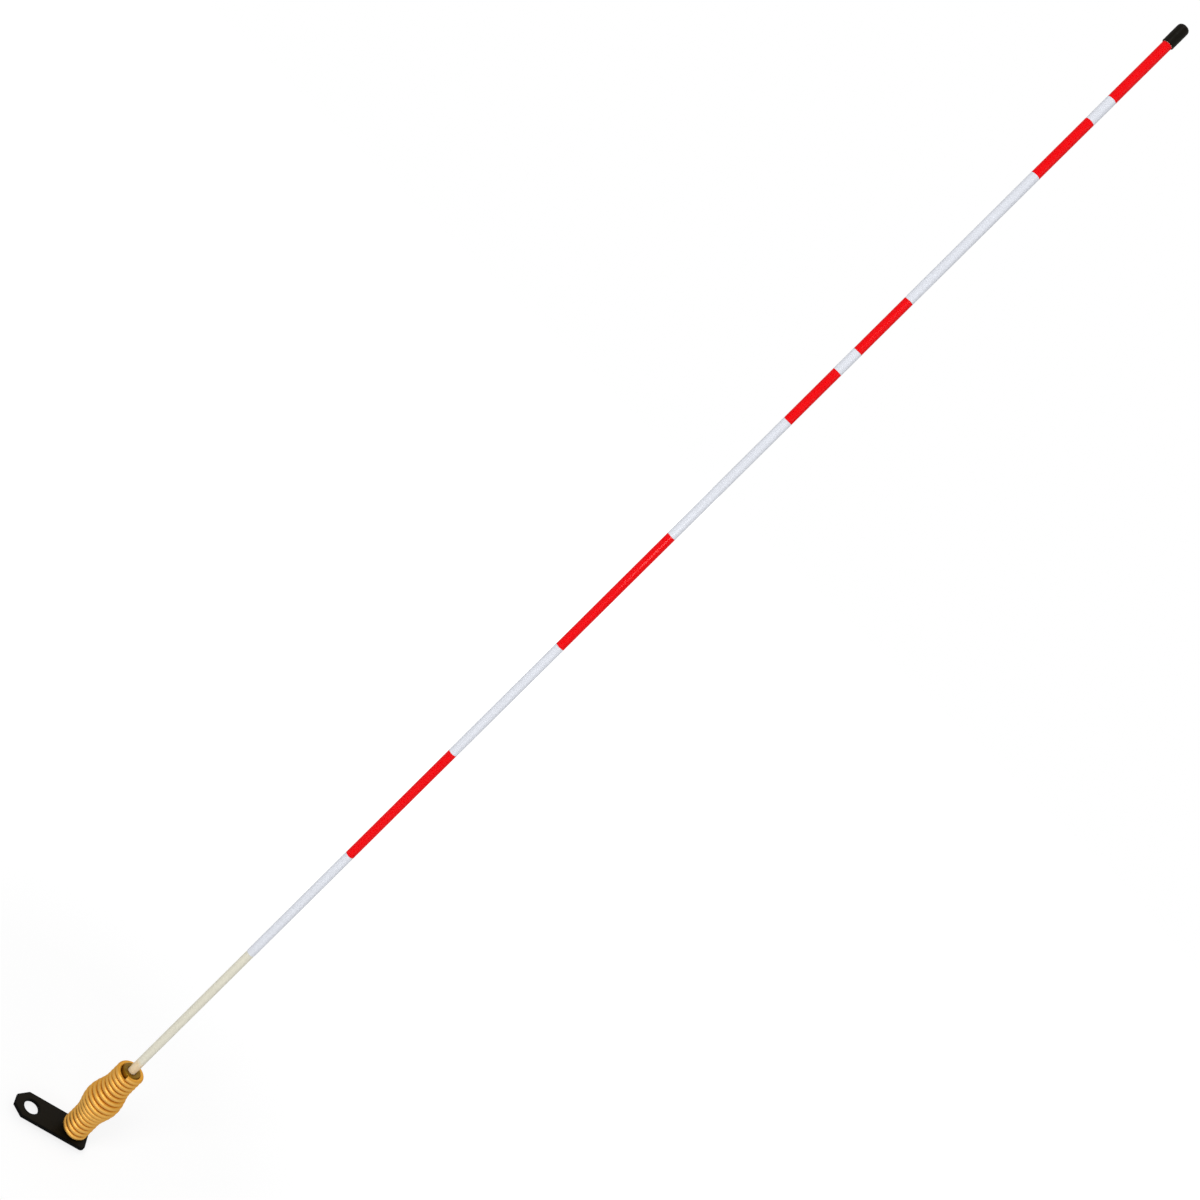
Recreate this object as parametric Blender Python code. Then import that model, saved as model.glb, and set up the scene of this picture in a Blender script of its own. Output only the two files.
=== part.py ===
"""Spring-mounted marker whip: a striped fibreglass mast on a barrel coil spring and a bolt-on bracket.

Everything is in metres at real size, +Z up along the mast. The origin is the centre of the bracket's
bolt hole, on the bracket's underside, and +X runs from that hole to the mast.
Run it in Blender's text editor, or with: blender --background --python part.py
"""

import math

import bmesh
import bpy
from mathutils import Vector

# ---- driving dimensions -------------------------------------------------------------------------

SEAT_GAP = 0.0003  # clearance between two pieces that seat on each other

# Flat steel bracket
BRACKET_LENGTH = 0.0889
BRACKET_WIDTH = 0.0349
BRACKET_THICKNESS = 0.0032
BOLT_HOLE_DIAMETER = 0.0175
HOLE_TO_END = 0.01905  # from the bolt hole's centre to the clipped end
HOLE_TO_MAST = 0.0508
CLIP_LENGTH = 0.0117  # each clipped corner, along the bracket
CLIP_WIDTH = 0.0108  # and across it
CORNER_RADIUS = 0.005  # the two corners at the mast end
EDGE_BREAK = 0.0004  # on the bracket's rims, and on the ends of turned pieces

# Barrel coil spring, close wound
SPRING_LENGTH = 0.0970
WIRE_DIAMETER = 0.00476
COIL_GAP = 0.0005  # free space between neighbouring turns
NECK_DIAMETER = 0.0316  # outside, at both ends
BELLY_DIAMETER = 0.0418  # outside, at its widest
BELLY_HEIGHT = 0.0510  # from the spring's foot to its widest turn
BELLY_REACH = 0.0260  # from the widest turn to the straight necks
SPRING_GRIP = 0.0100  # length at each end that plug and ferrule hold stiff
COIL_START = math.radians(75)  # direction of the wire's lower end from the axis
POINTS_PER_TURN = 10

# Steel plug that the lowest turns grip, and what bolts it down
PLUG_NOSE_LENGTH = 0.0060
PLUG_NOSE_TAPER = 0.0030  # how much the nose's radius draws in
TAP_FLOOR = 0.0030  # steel left above the blind tapped hole
SCREW_DIAMETER = 0.0079
SCREW_ENGAGEMENT = 0.0080  # length of screw inside the plug
SCREW_HEAD_FLATS = 0.0127
SCREW_HEAD_HEIGHT = 0.0050
WASHER_DIAMETER = 0.0140
WASHER_THICKNESS = 0.0020
WASHER_SLIT = 0.0016

# Steel ferrule that the top turns grip, with the rod pinned in its socket
FERRULE_RECESS = 0.0010  # its flange lies this far below the spring's top
FERRULE_WALL = 0.0020  # around the socket, below the flange
FERRULE_FLOOR = 0.0020
SOCKET_DEPTH = 0.0200
SOCKET_CHAMFER = 0.0010
PIN_DIAMETER = 0.0032
PIN_WALL = 0.0007
PIN_INSET = 0.0003  # how far each end lies below the ferrule's stem
PIN_SLIT_ANGLE = math.radians(50)

# Mast
ROD_DIAMETER = 0.009525
BARE_LENGTH = 0.1930  # rod showing between spring and tape
TAPE_WALL = 0.0003
SECTION_LENGTH = 0.1524  # tape sections, counted up from the bare rod
SHORT_STRIPE = 0.0254  # white stripe in the middle of a split section
SECTIONS = ("white", "red", "white", "red", "white", "split", "white", "split")
CAP_LENGTH = 0.0203
CAP_WALL = 0.0009
CAP_ROOF = 0.0024
CAP_CROWN = 0.0034  # height of the cap's rounded top
CAP_CROWN_STEPS = 6
CAP_CROWN_FULLNESS = 0.6  # under 1 swells the crown's shoulder

ROUND_SIDES = 40
SMALL_SIDES = 24
SMOOTH_ANGLE = math.radians(35)

# ---- sizes and heights that follow --------------------------------------------------------------

WIRE_RADIUS = WIRE_DIAMETER / 2
NECK_RADIUS = NECK_DIAMETER / 2 - WIRE_RADIUS  # to the wire's middle
BELLY_RADIUS = BELLY_DIAMETER / 2 - WIRE_RADIUS
NECK_BORE = NECK_RADIUS * math.cos(math.pi / POINTS_PER_TURN) - WIRE_RADIUS
GRIPPED_RADIUS = NECK_BORE - SEAT_GAP  # of the plug and of the ferrule's flange
ROD_RADIUS = ROD_DIAMETER / 2
SLEEVE_RADIUS = ROD_RADIUS + SEAT_GAP  # inside of whatever goes round the rod

SPRING_FOOT = BRACKET_THICKNESS + SEAT_GAP
SPRING_TOP = SPRING_FOOT + SPRING_LENGTH
QUARTER = (SPRING_LENGTH - 2 * SPRING_GRIP) / 4
LOWER_PIVOT = SPRING_FOOT + SPRING_GRIP + QUARTER
UPPER_PIVOT = SPRING_TOP - SPRING_GRIP - QUARTER

FERRULE_TOP = SPRING_TOP - FERRULE_RECESS
ROD_FOOT = FERRULE_TOP - SOCKET_DEPTH
FLANGE_FOOT = SPRING_TOP - SPRING_GRIP
FERRULE_STEM = SLEEVE_RADIUS + FERRULE_WALL  # its radius below the flange
PIN_HEIGHT = (ROD_FOOT + FLANGE_FOOT) / 2
PIN_LENGTH = 2 * (FERRULE_STEM - PIN_INSET)
TAPE_FOOT = SPRING_TOP + BARE_LENGTH
CAP_FOOT = TAPE_FOOT + len(SECTIONS) * SECTION_LENGTH  # the top band stops short of it
ROD_TOP = CAP_FOOT + CAP_LENGTH - CAP_ROOF - SEAT_GAP


# ---- materials ----------------------------------------------------------------------------------


def material(name, color, roughness, metallic=0.0):
    """A Principled material; color is linear red, green and blue."""
    made = bpy.data.materials.new(name)
    made.use_nodes = True
    shader = made.node_tree.nodes["Principled BSDF"]
    shader.inputs["Base Color"].default_value = (*color, 1.0)
    shader.inputs["Roughness"].default_value = roughness
    shader.inputs["Metallic"].default_value = metallic
    made.diffuse_color = (*color, 1.0)
    return made


def make_materials():
    """One material for each finish, under the name that the pieces ask for."""
    return {
        "black paint": material("black paint", (0.013, 0.011, 0.008), 0.45),
        "yellow zinc": material("yellow zinc", (0.62, 0.27, 0.045), 0.32, 1.0),
        "bright zinc": material("bright zinc", (0.55, 0.56, 0.58), 0.35, 1.0),
        "dull zinc": material("dull zinc", (0.26, 0.15, 0.05), 0.5, 1.0),
        "fibreglass": material("fibreglass", (0.70, 0.68, 0.55), 0.4),
        "white tape": material("white tape", (0.80, 0.81, 0.84), 0.3),
        "red tape": material("red tape", (0.88, 0.003, 0.007), 0.3),
        "black vinyl": material("black vinyl", (0.010, 0.008, 0.006), 0.35),
    }


# ---- helpers ------------------------------------------------------------------------------------


def clear_scene():
    for old in list(bpy.data.objects):
        bpy.data.objects.remove(old, do_unlink=True)


def add_empty(name, position, parent=None):
    """An empty on a joint's axis, at a point of the whole object's frame."""
    empty = bpy.data.objects.new(name, None)
    empty.empty_display_size = 0.02
    bpy.context.scene.collection.objects.link(empty)
    attach(empty, parent, position)
    return empty


def attach(obj, parent, position):
    """Parents obj and puts its origin at a point of the whole object's frame. Nothing here is turned."""
    reached = Vector(position)
    ancestor = parent
    while ancestor:
        reached -= ancestor.location
        ancestor = ancestor.parent
    obj.parent = parent
    obj.location = reached


def object_from(name, shape, finish=None):
    """Turns a bmesh into a linked object whose round faces are shaded smooth."""
    bmesh.ops.recalc_face_normals(shape, faces=shape.faces)
    mesh = bpy.data.meshes.new(name)
    shape.to_mesh(mesh)
    shape.free()
    mesh.shade_smooth()
    mesh.set_sharp_from_angle(angle=SMOOTH_ANGLE)
    obj = bpy.data.objects.new(name, mesh)
    bpy.context.scene.collection.objects.link(obj)
    if finish:
        mesh.materials.append(finish)
    return obj


def turned(name, profile, sides, finish, sweep=math.tau):
    """Spins a closed profile of (radius, height) points round Z. A sweep under a full turn leaves a slit."""
    shape = bmesh.new()
    section = shape.faces.new([shape.verts.new((radius, 0, height)) for radius, height in profile])
    whole = sweep > math.tau - 1e-6
    geometry = [*section.edges, *section.verts]
    if not whole:
        geometry.append(section)
    bmesh.ops.spin(shape, geom=geometry, cent=(0, 0, 0), axis=(0, 0, 1), angle=sweep, steps=sides)
    if whole:
        bmesh.ops.delete(shape, geom=[section], context="FACES_ONLY")
    bmesh.ops.remove_doubles(shape, verts=shape.verts, dist=1e-6)
    bmesh.ops.dissolve_degenerate(shape, edges=shape.edges, dist=1e-6)
    return object_from(name, shape, finish)


def cut(obj, cutter):
    """Cuts the cutter's shape out of obj with a live Boolean, and hides the cutter from renders."""
    hide_helper(cutter, obj)
    boolean = obj.modifiers.new(f"cut {cutter.name}", "BOOLEAN")
    boolean.operation = "DIFFERENCE"
    boolean.object = cutter


def join(obj, other):
    """Unites another closed shape with obj by a live Boolean."""
    hide_helper(other, obj)
    boolean = obj.modifiers.new(f"join {other.name}", "BOOLEAN")
    boolean.operation = "UNION"
    boolean.object = other


def hide_helper(helper, owner):
    helper.parent = owner
    helper.hide_render = True
    helper.display_type = "WIRE"


def cross_hole(name, diameter, length, height):
    """A hidden cylinder along Y, centred on Z at a height, for a hole right across a round piece."""
    shape = bmesh.new()
    bmesh.ops.create_cone(
        shape,
        cap_ends=True,
        segments=SMALL_SIDES,
        radius1=diameter / 2,
        radius2=diameter / 2,
        depth=length,
    )
    helper = object_from(name, shape)
    helper.rotation_euler.x = math.pi / 2
    helper.location.z = height
    return helper


# ---- bracket and its fastening ------------------------------------------------------------------


def arc(centre_x, centre_y, radius, start, end, steps):
    """Points along an arc in the XY plane, angles in degrees."""
    angles = [math.radians(start + (end - start) * k / steps) for k in range(steps + 1)]
    return [(centre_x + radius * math.cos(a), centre_y + radius * math.sin(a)) for a in angles]


def bracket_outline():
    """Once round the bracket: clipped corners at the bolt end, rounded corners at the mast end."""
    half = BRACKET_WIDTH / 2
    far = -HOLE_TO_END
    near = far + BRACKET_LENGTH
    inner_x = near - CORNER_RADIUS
    inner_y = half - CORNER_RADIUS
    outline = [(far + CLIP_LENGTH, half), (far, half - CLIP_WIDTH)]
    outline += [(far, CLIP_WIDTH - half), (far + CLIP_LENGTH, -half)]
    outline += arc(inner_x, -inner_y, CORNER_RADIUS, -90, 0, 6)
    outline += arc(inner_x, inner_y, CORNER_RADIUS, 0, 90, 6)
    return outline


def round_cutter(name, diameter, centre_x):
    """A hidden upright cylinder that runs past both faces of the bracket."""
    shape = bmesh.new()
    bmesh.ops.create_cone(
        shape,
        cap_ends=True,
        segments=ROUND_SIDES,
        radius1=diameter / 2,
        radius2=diameter / 2,
        depth=3 * BRACKET_THICKNESS,
    )
    helper = object_from(name, shape)
    helper.location = (centre_x, 0, BRACKET_THICKNESS / 2)
    return helper


def make_bracket(finish):
    shape = bmesh.new()
    plate = shape.faces.new([shape.verts.new((x, y, 0)) for x, y in bracket_outline()])
    raised = bmesh.ops.extrude_face_region(shape, geom=[plate])["geom"]
    top = [v for v in raised if isinstance(v, bmesh.types.BMVert)]
    bmesh.ops.translate(shape, verts=top, vec=(0, 0, BRACKET_THICKNESS))
    rims = [e for e in shape.edges if abs(e.verts[0].co.z - e.verts[1].co.z) < 1e-7]
    bmesh.ops.bevel(shape, geom=rims, offset=EDGE_BREAK, segments=1, affect="EDGES")
    bracket = object_from("mounting_bracket", shape, finish)
    cut(bracket, round_cutter("bolt_hole_cutter", BOLT_HOLE_DIAMETER, 0))
    cut(bracket, round_cutter("screw_hole_cutter", SCREW_DIAMETER + 2 * SEAT_GAP, HOLE_TO_MAST))
    return bracket


def make_screw(finish):
    """Hex-head screw, up through the bracket into the plug. Its origin is below the mast."""
    shape = bmesh.new()
    bmesh.ops.create_cone(
        shape,
        cap_ends=True,
        segments=6,
        radius1=SCREW_HEAD_FLATS / math.sqrt(3) - EDGE_BREAK,
        radius2=SCREW_HEAD_FLATS / math.sqrt(3),
        depth=SCREW_HEAD_HEIGHT,
    )
    head_top = -WASHER_THICKNESS - 2 * SEAT_GAP
    bmesh.ops.translate(shape, verts=shape.verts, vec=(0, 0, head_top - SCREW_HEAD_HEIGHT / 2))
    screw = object_from("base_screw", shape, finish)
    radius = SCREW_DIAMETER / 2
    tip = BRACKET_THICKNESS + SEAT_GAP + SCREW_ENGAGEMENT
    foot = head_top - SCREW_HEAD_HEIGHT / 2
    shank = [(0, foot), (radius, foot), (radius, tip - EDGE_BREAK), (radius - EDGE_BREAK, tip), (0, tip)]
    join(screw, turned("screw_shank", shank, SMALL_SIDES, finish))
    return screw


def make_washer(finish):
    """Split lock washer between the screw's head and the bracket."""
    inner = SCREW_DIAMETER / 2 + SEAT_GAP
    outer = WASHER_DIAMETER / 2
    bottom = -WASHER_THICKNESS - SEAT_GAP
    profile = [(inner, bottom), (outer, bottom), (outer, -SEAT_GAP), (inner, -SEAT_GAP)]
    return turned("lock_washer", profile, SMALL_SIDES, finish, math.tau - WASHER_SLIT / outer)


def make_plug(finish):
    """Round plug inside the lowest turns, drawn in to a nose, with a blind tapped hole for the screw."""
    shoulder = SPRING_FOOT + SPRING_GRIP
    nose = shoulder + PLUG_NOSE_LENGTH
    hole = SCREW_DIAMETER / 2 + SEAT_GAP
    roof = nose - TAP_FLOOR
    profile = [
        (hole, SPRING_FOOT),
        (GRIPPED_RADIUS, SPRING_FOOT),
        (GRIPPED_RADIUS, shoulder),
        (GRIPPED_RADIUS - PLUG_NOSE_TAPER, nose),
        (0, nose),
        (0, roof),
        (hole, roof),
    ]
    return turned("lower_spring_plug", profile, ROUND_SIDES, finish)


# ---- spring -------------------------------------------------------------------------------------


def coil_radius(height):
    """Middle of the wire, from the axis, at a height above the spring's foot: straight necks and a belly."""
    offset = min(1.0, abs(height - BELLY_HEIGHT) / BELLY_REACH)
    swell = math.cos(offset * math.pi / 2) ** 2
    return NECK_RADIUS + (BELLY_RADIUS - NECK_RADIUS) * swell


def coil_points():
    """The wire's middle line as one unbroken left-hand helix, from the spring's foot to its top."""
    pitch = WIRE_DIAMETER + COIL_GAP
    climb = SPRING_LENGTH - WIRE_DIAMETER
    steps = round(climb / pitch * POINTS_PER_TURN)
    points = []
    for k in range(steps + 1):
        angle = COIL_START - math.tau * k / POINTS_PER_TURN
        height = WIRE_RADIUS + pitch * k / POINTS_PER_TURN
        radius = coil_radius(height)
        points.append(Vector((radius * math.cos(angle), radius * math.sin(angle), height)))
    return points


def least_gap(points):
    """Least free space between turns: over all points half a turn or more apart along the wire."""
    apart = POINTS_PER_TURN // 2
    spans = [(a - b).length for k, a in enumerate(points) for b in points[k + apart :]]
    return min(spans) - WIRE_DIAMETER


def make_spring(finish):
    points = coil_points()
    print(f"coil_spring: least gap to itself {1000 * least_gap(points):.3f} mm")
    curve = bpy.data.curves.new("coil_spring", "CURVE")
    curve.dimensions = "3D"
    curve.bevel_depth = WIRE_RADIUS
    curve.bevel_resolution = 1
    curve.use_fill_caps = True
    wire = curve.splines.new("POLY")
    wire.points.add(len(points) - 1)
    for place, point in zip(wire.points, points):
        place.co = (*point, 1.0)
    curve.materials.append(finish)
    spring = bpy.data.objects.new("coil_spring", curve)
    bpy.context.scene.collection.objects.link(spring)
    return spring


# ---- mast ---------------------------------------------------------------------------------------


def make_ferrule(finish):
    """Flanged socket for the rod. Its origin is at the flange's top, on the axis."""
    floor = -SOCKET_DEPTH - SEAT_GAP
    flange = FLANGE_FOOT - FERRULE_TOP
    profile = [
        (0, floor - FERRULE_FLOOR),
        (FERRULE_STEM, floor - FERRULE_FLOOR),
        (FERRULE_STEM, flange),
        (GRIPPED_RADIUS, flange),
        (GRIPPED_RADIUS, -EDGE_BREAK),
        (GRIPPED_RADIUS - EDGE_BREAK, 0),
        (SLEEVE_RADIUS + SOCKET_CHAMFER, 0),
        (SLEEVE_RADIUS, -SOCKET_CHAMFER),
        (SLEEVE_RADIUS, floor),
        (0, floor),
    ]
    ferrule = turned("rod_ferrule", profile, ROUND_SIDES, finish)
    hole = PIN_DIAMETER + 2 * SEAT_GAP
    cut(ferrule, cross_hole("ferrule_pin_cutter", hole, 4 * GRIPPED_RADIUS, PIN_HEIGHT - FERRULE_TOP))
    return ferrule


def make_pin(finish):
    """Slit roll pin, lying along Y through ferrule and rod."""
    outer = PIN_DIAMETER / 2
    half = PIN_LENGTH / 2
    profile = [(outer - PIN_WALL, -half), (outer, -half), (outer, half), (outer - PIN_WALL, half)]
    pin = turned("ferrule_pin", profile, SMALL_SIDES, finish, math.tau - PIN_SLIT_ANGLE)
    pin.rotation_euler.x = math.pi / 2
    return pin


def make_rod(finish):
    """Solid rod with chamfered ends. Its origin is at its foot, in the ferrule's socket."""
    length = ROD_TOP - ROD_FOOT
    profile = [
        (0, 0),
        (ROD_RADIUS - EDGE_BREAK, 0),
        (ROD_RADIUS, EDGE_BREAK),
        (ROD_RADIUS, length - EDGE_BREAK),
        (ROD_RADIUS - EDGE_BREAK, length),
        (0, length),
    ]
    rod = turned("fibreglass_rod", profile, ROUND_SIDES, finish)
    hole = PIN_DIAMETER + 2 * SEAT_GAP
    cut(rod, cross_hole("rod_pin_cutter", hole, 4 * ROD_RADIUS, PIN_HEIGHT - ROD_FOOT))
    return rod


def band_plan():
    """(colour, foot, length) of each tape band, from the bare rod up."""
    red_part = (SECTION_LENGTH - SHORT_STRIPE) / 2
    split = (("red", red_part), ("white", SHORT_STRIPE), ("red", red_part))
    foot = TAPE_FOOT
    plan = []
    for section in SECTIONS:
        for colour, length in split if section == "split" else ((section, SECTION_LENGTH),):
            plan.append((colour, foot, length))
            foot += length
    return plan


def make_band(name, length, finish):
    """Tape wrapped once round the rod, as a thin sleeve. It stops short of the band above it."""
    outer = SLEEVE_RADIUS + TAPE_WALL
    top = length - SEAT_GAP
    profile = [(SLEEVE_RADIUS, 0), (outer, 0), (outer, top), (SLEEVE_RADIUS, top)]
    return turned(name, profile, ROUND_SIDES, finish)


def make_cap(finish):
    """Push-on cap: a tube with a rounded, closed top. Its origin is at its open foot."""
    outer = SLEEVE_RADIUS + CAP_WALL
    roof = CAP_LENGTH - CAP_ROOF
    shoulder = CAP_LENGTH - CAP_CROWN
    crown = []
    for k in range(1, CAP_CROWN_STEPS):
        angle = math.pi / 2 * k / CAP_CROWN_STEPS
        crown.append((outer * math.cos(angle) ** CAP_CROWN_FULLNESS, shoulder + CAP_CROWN * math.sin(angle)))
    profile = [(SLEEVE_RADIUS, 0), (outer, 0), (outer, shoulder)]
    profile += [*crown, (0, CAP_LENGTH), (0, roof), (SLEEVE_RADIUS, roof)]
    return turned("end_cap", profile, ROUND_SIDES, finish)


# ---- assembly -----------------------------------------------------------------------------------


def build():
    clear_scene()
    finishes = make_materials()
    axis = HOLE_TO_MAST
    spring_pivot = add_empty("spring_pivot", (axis, 0, LOWER_PIVOT))
    mast_pivot = add_empty("mast_pivot", (axis, 0, UPPER_PIVOT), spring_pivot)

    attach(make_bracket(finishes["black paint"]), None, (0, 0, 0))
    attach(make_screw(finishes["bright zinc"]), None, (axis, 0, 0))
    attach(make_washer(finishes["bright zinc"]), None, (axis, 0, 0))
    attach(make_plug(finishes["dull zinc"]), None, (axis, 0, 0))

    attach(make_spring(finishes["yellow zinc"]), spring_pivot, (axis, 0, SPRING_FOOT))

    attach(make_ferrule(finishes["dull zinc"]), mast_pivot, (axis, 0, FERRULE_TOP))
    attach(make_pin(finishes["bright zinc"]), mast_pivot, (axis, 0, PIN_HEIGHT))
    attach(make_rod(finishes["fibreglass"]), mast_pivot, (axis, 0, ROD_FOOT))
    for number, (colour, foot, length) in enumerate(band_plan(), 1):
        band = make_band(f"tape_band_{number:02d}_{colour}", length, finishes[f"{colour} tape"])
        attach(band, mast_pivot, (axis, 0, foot))
    attach(make_cap(finishes["black vinyl"]), mast_pivot, (axis, 0, CAP_FOOT))


build()
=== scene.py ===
"""Looks of the spring-mounted marker whip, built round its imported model.

Metres, +Z up along the mast. The origin is the bolt hole's centre on the bracket's underside, and
+X runs to the mast.
"""

import math

import bmesh
import bpy
import numpy as np
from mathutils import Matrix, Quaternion, Vector


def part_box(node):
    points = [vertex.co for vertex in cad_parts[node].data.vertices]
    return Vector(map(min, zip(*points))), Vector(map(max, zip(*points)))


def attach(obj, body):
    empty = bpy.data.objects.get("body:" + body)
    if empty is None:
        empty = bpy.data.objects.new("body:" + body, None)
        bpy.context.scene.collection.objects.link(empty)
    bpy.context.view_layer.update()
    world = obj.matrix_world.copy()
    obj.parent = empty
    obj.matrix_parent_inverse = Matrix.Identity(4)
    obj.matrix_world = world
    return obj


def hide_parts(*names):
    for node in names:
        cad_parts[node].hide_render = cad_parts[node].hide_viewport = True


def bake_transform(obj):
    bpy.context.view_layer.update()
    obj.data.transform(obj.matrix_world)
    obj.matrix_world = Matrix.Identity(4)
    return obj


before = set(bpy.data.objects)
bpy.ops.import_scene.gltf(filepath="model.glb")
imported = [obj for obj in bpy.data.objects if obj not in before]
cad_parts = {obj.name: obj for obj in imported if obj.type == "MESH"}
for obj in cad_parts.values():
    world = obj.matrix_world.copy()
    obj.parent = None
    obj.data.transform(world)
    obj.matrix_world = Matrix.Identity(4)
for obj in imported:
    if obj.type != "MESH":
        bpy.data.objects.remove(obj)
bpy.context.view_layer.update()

# ---- camera and light ---------------------------------------------------------------------------

CAMERA_PLACE = Vector((-0.4193, -1.1979, 1.0388))
CAMERA_AIM = Vector((0.0463, 0.0018, 0.8109))
CAMERA_LENS = 40.82  # mm
CAMERA_SENSOR = 36.0  # mm
CAMERA_ROLL = math.radians(45.22)

WORLD_FILL = 0.44
FLOOR_DROP = 0.0002  # below the lowest piece
FLOOR_SIZE = 30.0
FLOOR_WHITE = 1.16  # strength of the floor's own white
FLOOR_GLOW = 0.70  # share of that white in the floor under the object
GLOW_REACH = (0.25, 1.3)  # from the bolt hole, where the floor turns all white

# Name, azimuth, elevation, distance, width, height, level, and the height on the mast it aims at.
LAMPS = (
    ("upper_left_softbox", 226, 48, 6.0, 1.6, 2.6, 0.30, 0.05),
    ("right_fill", 305, 20, 6.0, 3.0, 3.0, 0.07, 0.05),
    ("low_strip", 253, -6.6, 1.9, 1.6, 0.2, 0.23, 0.89),
    ("high_strip", 253, 7.2, 1.9, 1.6, 0.2, 0.045, 1.20),
)

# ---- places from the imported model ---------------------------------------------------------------

ROD_LOW, ROD_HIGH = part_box("fibreglass_rod")
BRACKET_LOW, BRACKET_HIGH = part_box("mounting_bracket")
SCREW_LOW, SCREW_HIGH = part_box("base_screw")
WASHER_LOW, WASHER_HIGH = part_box("lock_washer")
FERRULE_LOW, FERRULE_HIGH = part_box("rod_ferrule")
CAP_LOW, CAP_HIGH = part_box("end_cap")
PLUG_LOW, PLUG_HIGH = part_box("lower_spring_plug")

MAST_X = (ROD_LOW.x + ROD_HIGH.x) / 2
MAST = Vector((MAST_X, 0, 0))
ROD_RADIUS = (ROD_HIGH.x - ROD_LOW.x) / 2
PACKED_SPRING_LENGTH = 0.0970
PACKED_TAPE_JOINT = 0.0003

# ---- sizes of the real finish -------------------------------------------------------------------

# Bracket
BOLT_HOLE_RADIUS = 0.00875
SCREW_HOLE_RADIUS = 0.00425
CLIP_LENGTH = 0.0117
CLIP_WIDTH = 0.0108
CORNER_RADIUS = 0.005
RIM_ROUNDING = 0.0006
RIM_SHADE_AND_CHIP_BAND = 0.0015  # width of the band along the bracket's rims that gets painted shade and chips

# Screw and washer
HEAD_STEP = 0.0003  # from the head's flats in to its round end face
HEAD_CHAMFER = math.radians(30)
SHANK_PLAY = 0.0003
SHANK_POINT = 0.0006
WASHER_GAP = 0.0016  # between the washer's cut ends
WASHER_REACH = 0.0002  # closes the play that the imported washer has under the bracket
WASHER_ROUNDING = 0.00018

# Barrel spring
WIRE_RADIUS = 0.00273
NECK_RADIUS = 0.01307
BELLY_RADIUS = 0.01817
BELLY_HEIGHT = 0.0515  # above the spring's foot
BELLY_REACH = 0.0265
SPRING_FOOT = BRACKET_HIGH.z
SPRING_RISE = 0.0035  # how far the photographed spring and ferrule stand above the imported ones
SPRING_TOP = PLUG_LOW.z + PACKED_SPRING_LENGTH + SPRING_RISE
SPRING_GRIP = 0.0100  # length of each neck that plug or ferrule holds straight
COIL_START = math.radians(75)
COIL_TURNS = 17.5
COIL_SPLIT = 9.0  # turn in the belly where the two halves of the wire meet
FLANK_STEPS = 2000  # to measure the barrel's flank by
TANGENT_STEP = 0.01  # of a turn, to either side
RINGS_PER_TURN = 60
WIRE_SIDES = 28
WIRE_END_BREAK = 0.00035

# Plug, ferrule and the rod's ends
EDGE_BREAK = 0.0005
PLUG_PLAY = 0.0001
PLUG_TAPER = 0.0040  # how far below its top the plug starts to narrow
NOSE_STEP = 0.0025  # from the plug's body in to its nose
NOSE_BREAK = 0.0010
BORE_STEP = 0.0002  # from the bracket's screw hole in to the plug's bore
BORE_ROOF = 0.0006  # above the screw's tip
FERRULE_PLAY = 0.0002
FLANGE_ROUNDING = 0.0009
STEM_WALL = 0.0022
STEM_BREAK = 0.0006
SOCKET_PLAY = 0.0001
MOUTH_CHAMFER = 0.0010
MOUTH_ROUNDING = 0.0003
ROD_END_GAP = 0.0002
ROD_RINGS = 24

# Tape
TAPE_LIFT = 0.00003  # glue under the film
TAPE_FILM = 0.00017
TAPE_LAP_LIFT = 0.00002  # glue in the lap
TAPE_OVERLAP = math.radians(38)
TAPE_SEAM = math.radians(262)  # direction of the lap from the mast's axis
TAPE_LAP_RAMP = math.radians(7)  # in which the film climbs over its own start
TAPE_JOINT = 0.00008  # open joint between two bands
TAPE_STRAY = 0.00010  # of a hand-cut edge
TAPE_RIPPLE = 0.000012
TAPE_COLUMNS = 110
TAPE_ROW = 0.004

# Cap
CAP_PLAY = 0.0001
CAP_LIP = 0.0006  # height of the rolled lip
CAP_BULGE = 0.00012  # how far the lip stands out past the tube
CAP_LIP_TOP = 0.0009  # above the cap's foot, where the lip is widest
CAP_NECK = 0.0016  # above the cap's foot, where the lip has run out into the tube
CAP_CROWN = 0.0036
CAP_SWELL = 0.00008
CAP_WAVE = 0.00003

SPRING_GLOW_TOP = SPRING_TOP + 0.014  # how high up the rod the painted warm reflection of the gold spring reaches
SPRING_GLOW_FADE = 0.004

ROUND_SIDES = 96
SAME_PLACE = 1e-6  # points closer than this are one
LEVEL = 0.9999  # upward share of a level face's normal


def clear_selection():
    bpy.ops.object.select_all(action="DESELECT")


def name_active(name):
    piece = bpy.context.active_object
    piece.name = name
    piece.data.name = name
    return piece


def choose(piece):
    """Makes a piece the only selected one, and active."""
    clear_selection()
    piece.select_set(True)
    bpy.context.view_layer.objects.active = piece


def settle(piece, smooth_angle=math.radians(35)):
    """Puts the piece's place into its mesh and smooths its round faces."""
    choose(piece)
    bpy.ops.object.transform_apply(location=True, rotation=True, scale=True)
    bpy.ops.object.shade_smooth_by_angle(angle=smooth_angle)
    return piece


def apply_modifier(piece, kind, **settings):
    """Adds a modifier with these settings and applies it."""
    choose(piece)
    modifier = piece.modifiers.new(kind.title(), kind)
    for key, value in settings.items():
        setattr(modifier, key, value)
    bpy.ops.object.modifier_apply(modifier=modifier.name)


def edit(piece):
    """An edit-mode view of the piece's mesh with nothing selected."""
    choose(piece)
    bpy.ops.object.mode_set(mode="EDIT")
    bpy.ops.mesh.select_all(action="DESELECT")
    return bmesh.from_edit_mesh(piece.data)


def leave_edit(piece):
    bmesh.update_edit_mesh(piece.data)
    bpy.ops.object.mode_set(mode="OBJECT")


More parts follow.
